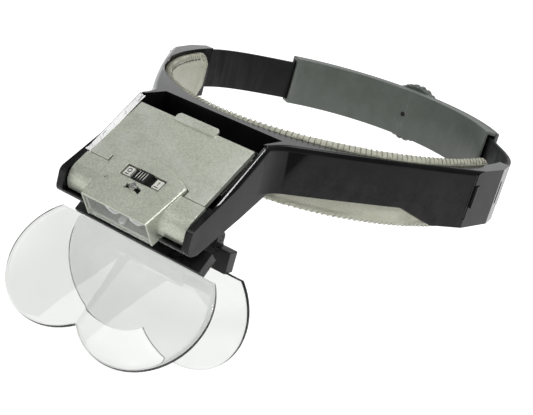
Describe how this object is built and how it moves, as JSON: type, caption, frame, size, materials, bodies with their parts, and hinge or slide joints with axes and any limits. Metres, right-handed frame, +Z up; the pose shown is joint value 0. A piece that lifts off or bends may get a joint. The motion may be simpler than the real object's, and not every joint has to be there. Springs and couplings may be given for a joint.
{
  "type": "head visor magnifier",
  "caption": "Head-worn magnifier: black visor frame with padded band, sloping battery and lamp housing, flip-down clear lens plates, rear fitting unit with knob.",
  "frame": {"origin": "midway between the two arm ends, level with the top edge of the front band", "axes": "+X to the side, -Y where the wearer looks, +Z up"},
  "size_m": [0.168, 0.2517, 0.0979],
  "materials": {
    "frame_gloss": "glossy black moulding",
    "pad_leatherette": "soft leatherette",
    "strap_black": "matte black",
    "shell_grey": "satin grey",
    "steel": "nickel plated",
    "black_plastic": "satin black",
    "silver_paint": "silver metallic paint",
    "cell_wrap": "printed-free wrap",
    "wire_red": "wire insulation",
    "clear_acrylic": "clear",
    "mark_plate": "pale plate",
    "led_epoxy": "water-clear epoxy",
    "reflector": "metallised",
    "board_green": "solder mask",
    "lens_acrylic": "polished acrylic"
  },
  "bodies": {
    "visor": {"front_frame": "frame_gloss", "forehead_pad": "pad_leatherette", "right_strap": "strap_black", "left_strap": "strap_black", "battery_tray": "black_plastic", "rear_cell": "cell_wrap", "front_cell": "cell_wrap", "contact_plates": "steel", "contact_springs": "steel", "lamp_housing": "silver_paint", "lamp_wires": "wire_red", "lamp_window": "clear_acrylic", "switch_body": "black_plastic", "switch_plates": "mark_plate", "housing_screws": "steel", "hinge_bracket": "black_plastic", "bracket_screws": "steel", "rear_hinge_pins": "steel", "front_hinge_pins": "steel", "friction_washers": "steel"},
    "door": {"battery_door": "silver_paint"},
    "switch": {"switch_slider": "black_plastic"},
    "lamp": {"left_led": "led_epoxy", "right_led": "led_epoxy", "lamp_block": "reflector", "led_board": "board_green", "aim_screw": "steel"},
    "rear_holder": {"rear_lens_holder": "black_plastic"},
    "front_holder": {"front_lens_holder": "black_plastic"},
    "rear_lens": {"rear_lens_plate": "lens_acrylic"},
    "front_lens": {"front_lens_plate": "lens_acrylic"},
    "rear_unit": {"rear_housing": "shell_grey", "rear_cover": "shell_grey", "knob_washer": "steel"},
    "knob": {"adjust_knob": "shell_grey", "pinion_shaft": "black_plastic", "knob_screw": "steel"}
  },
  "joints": [
    {"name": "fit_slide", "type": "slide", "parent": "visor", "child": "rear_unit", "axis": [0, 1, 0], "range_m": [-0.01, 0.014], "deforming": ["left_strap", "right_strap"]},
    {"name": "knob_turn", "type": "hinge", "parent": "rear_unit", "child": "knob", "pos_m": [0, 0.08, -0.011], "axis": [0, 1, 0], "range_deg": [-120, 170]},
    {"name": "door_slide", "type": "slide", "parent": "visor", "child": "door", "axis": [0, 0.8059, 0.592], "range_m": [0, 0.03]},
    {"name": "switch_slide", "type": "slide", "parent": "visor", "child": "switch", "axis": [1, 0, 0], "range_m": [-0.0015, 0.0015]},
    {"name": "lamp_aim", "type": "hinge", "parent": "visor", "child": "lamp", "pos_m": [0, -0.15264, -0.02881], "axis": [0, -0.592, 0.8059], "range_deg": [-15, 15]},
    {"name": "rear_lens_flip", "type": "hinge", "parent": "visor", "child": "rear_holder", "pos_m": [0, -0.1182, -0.0386], "axis": [1, 0, 0], "range_deg": [-44, 8]},
    {"name": "front_lens_flip", "type": "hinge", "parent": "visor", "child": "front_holder", "pos_m": [0, -0.1296, -0.0386], "axis": [1, 0, 0], "range_deg": [-36, 40]},
    {"name": "rear_lens_pull", "type": "slide", "parent": "rear_holder", "child": "rear_lens", "axis": [0, -0.014, -0.9999], "range_m": [0, 0.005]},
    {"name": "front_lens_pull", "type": "slide", "parent": "front_holder", "child": "front_lens", "axis": [0, -0.6665, -0.7455], "range_m": [0, 0.005]}
  ],
  "couplings": [
    {"joint": "knob_turn", "follows": "fit_slide", "rad_per_m": 201.38}
  ]
}
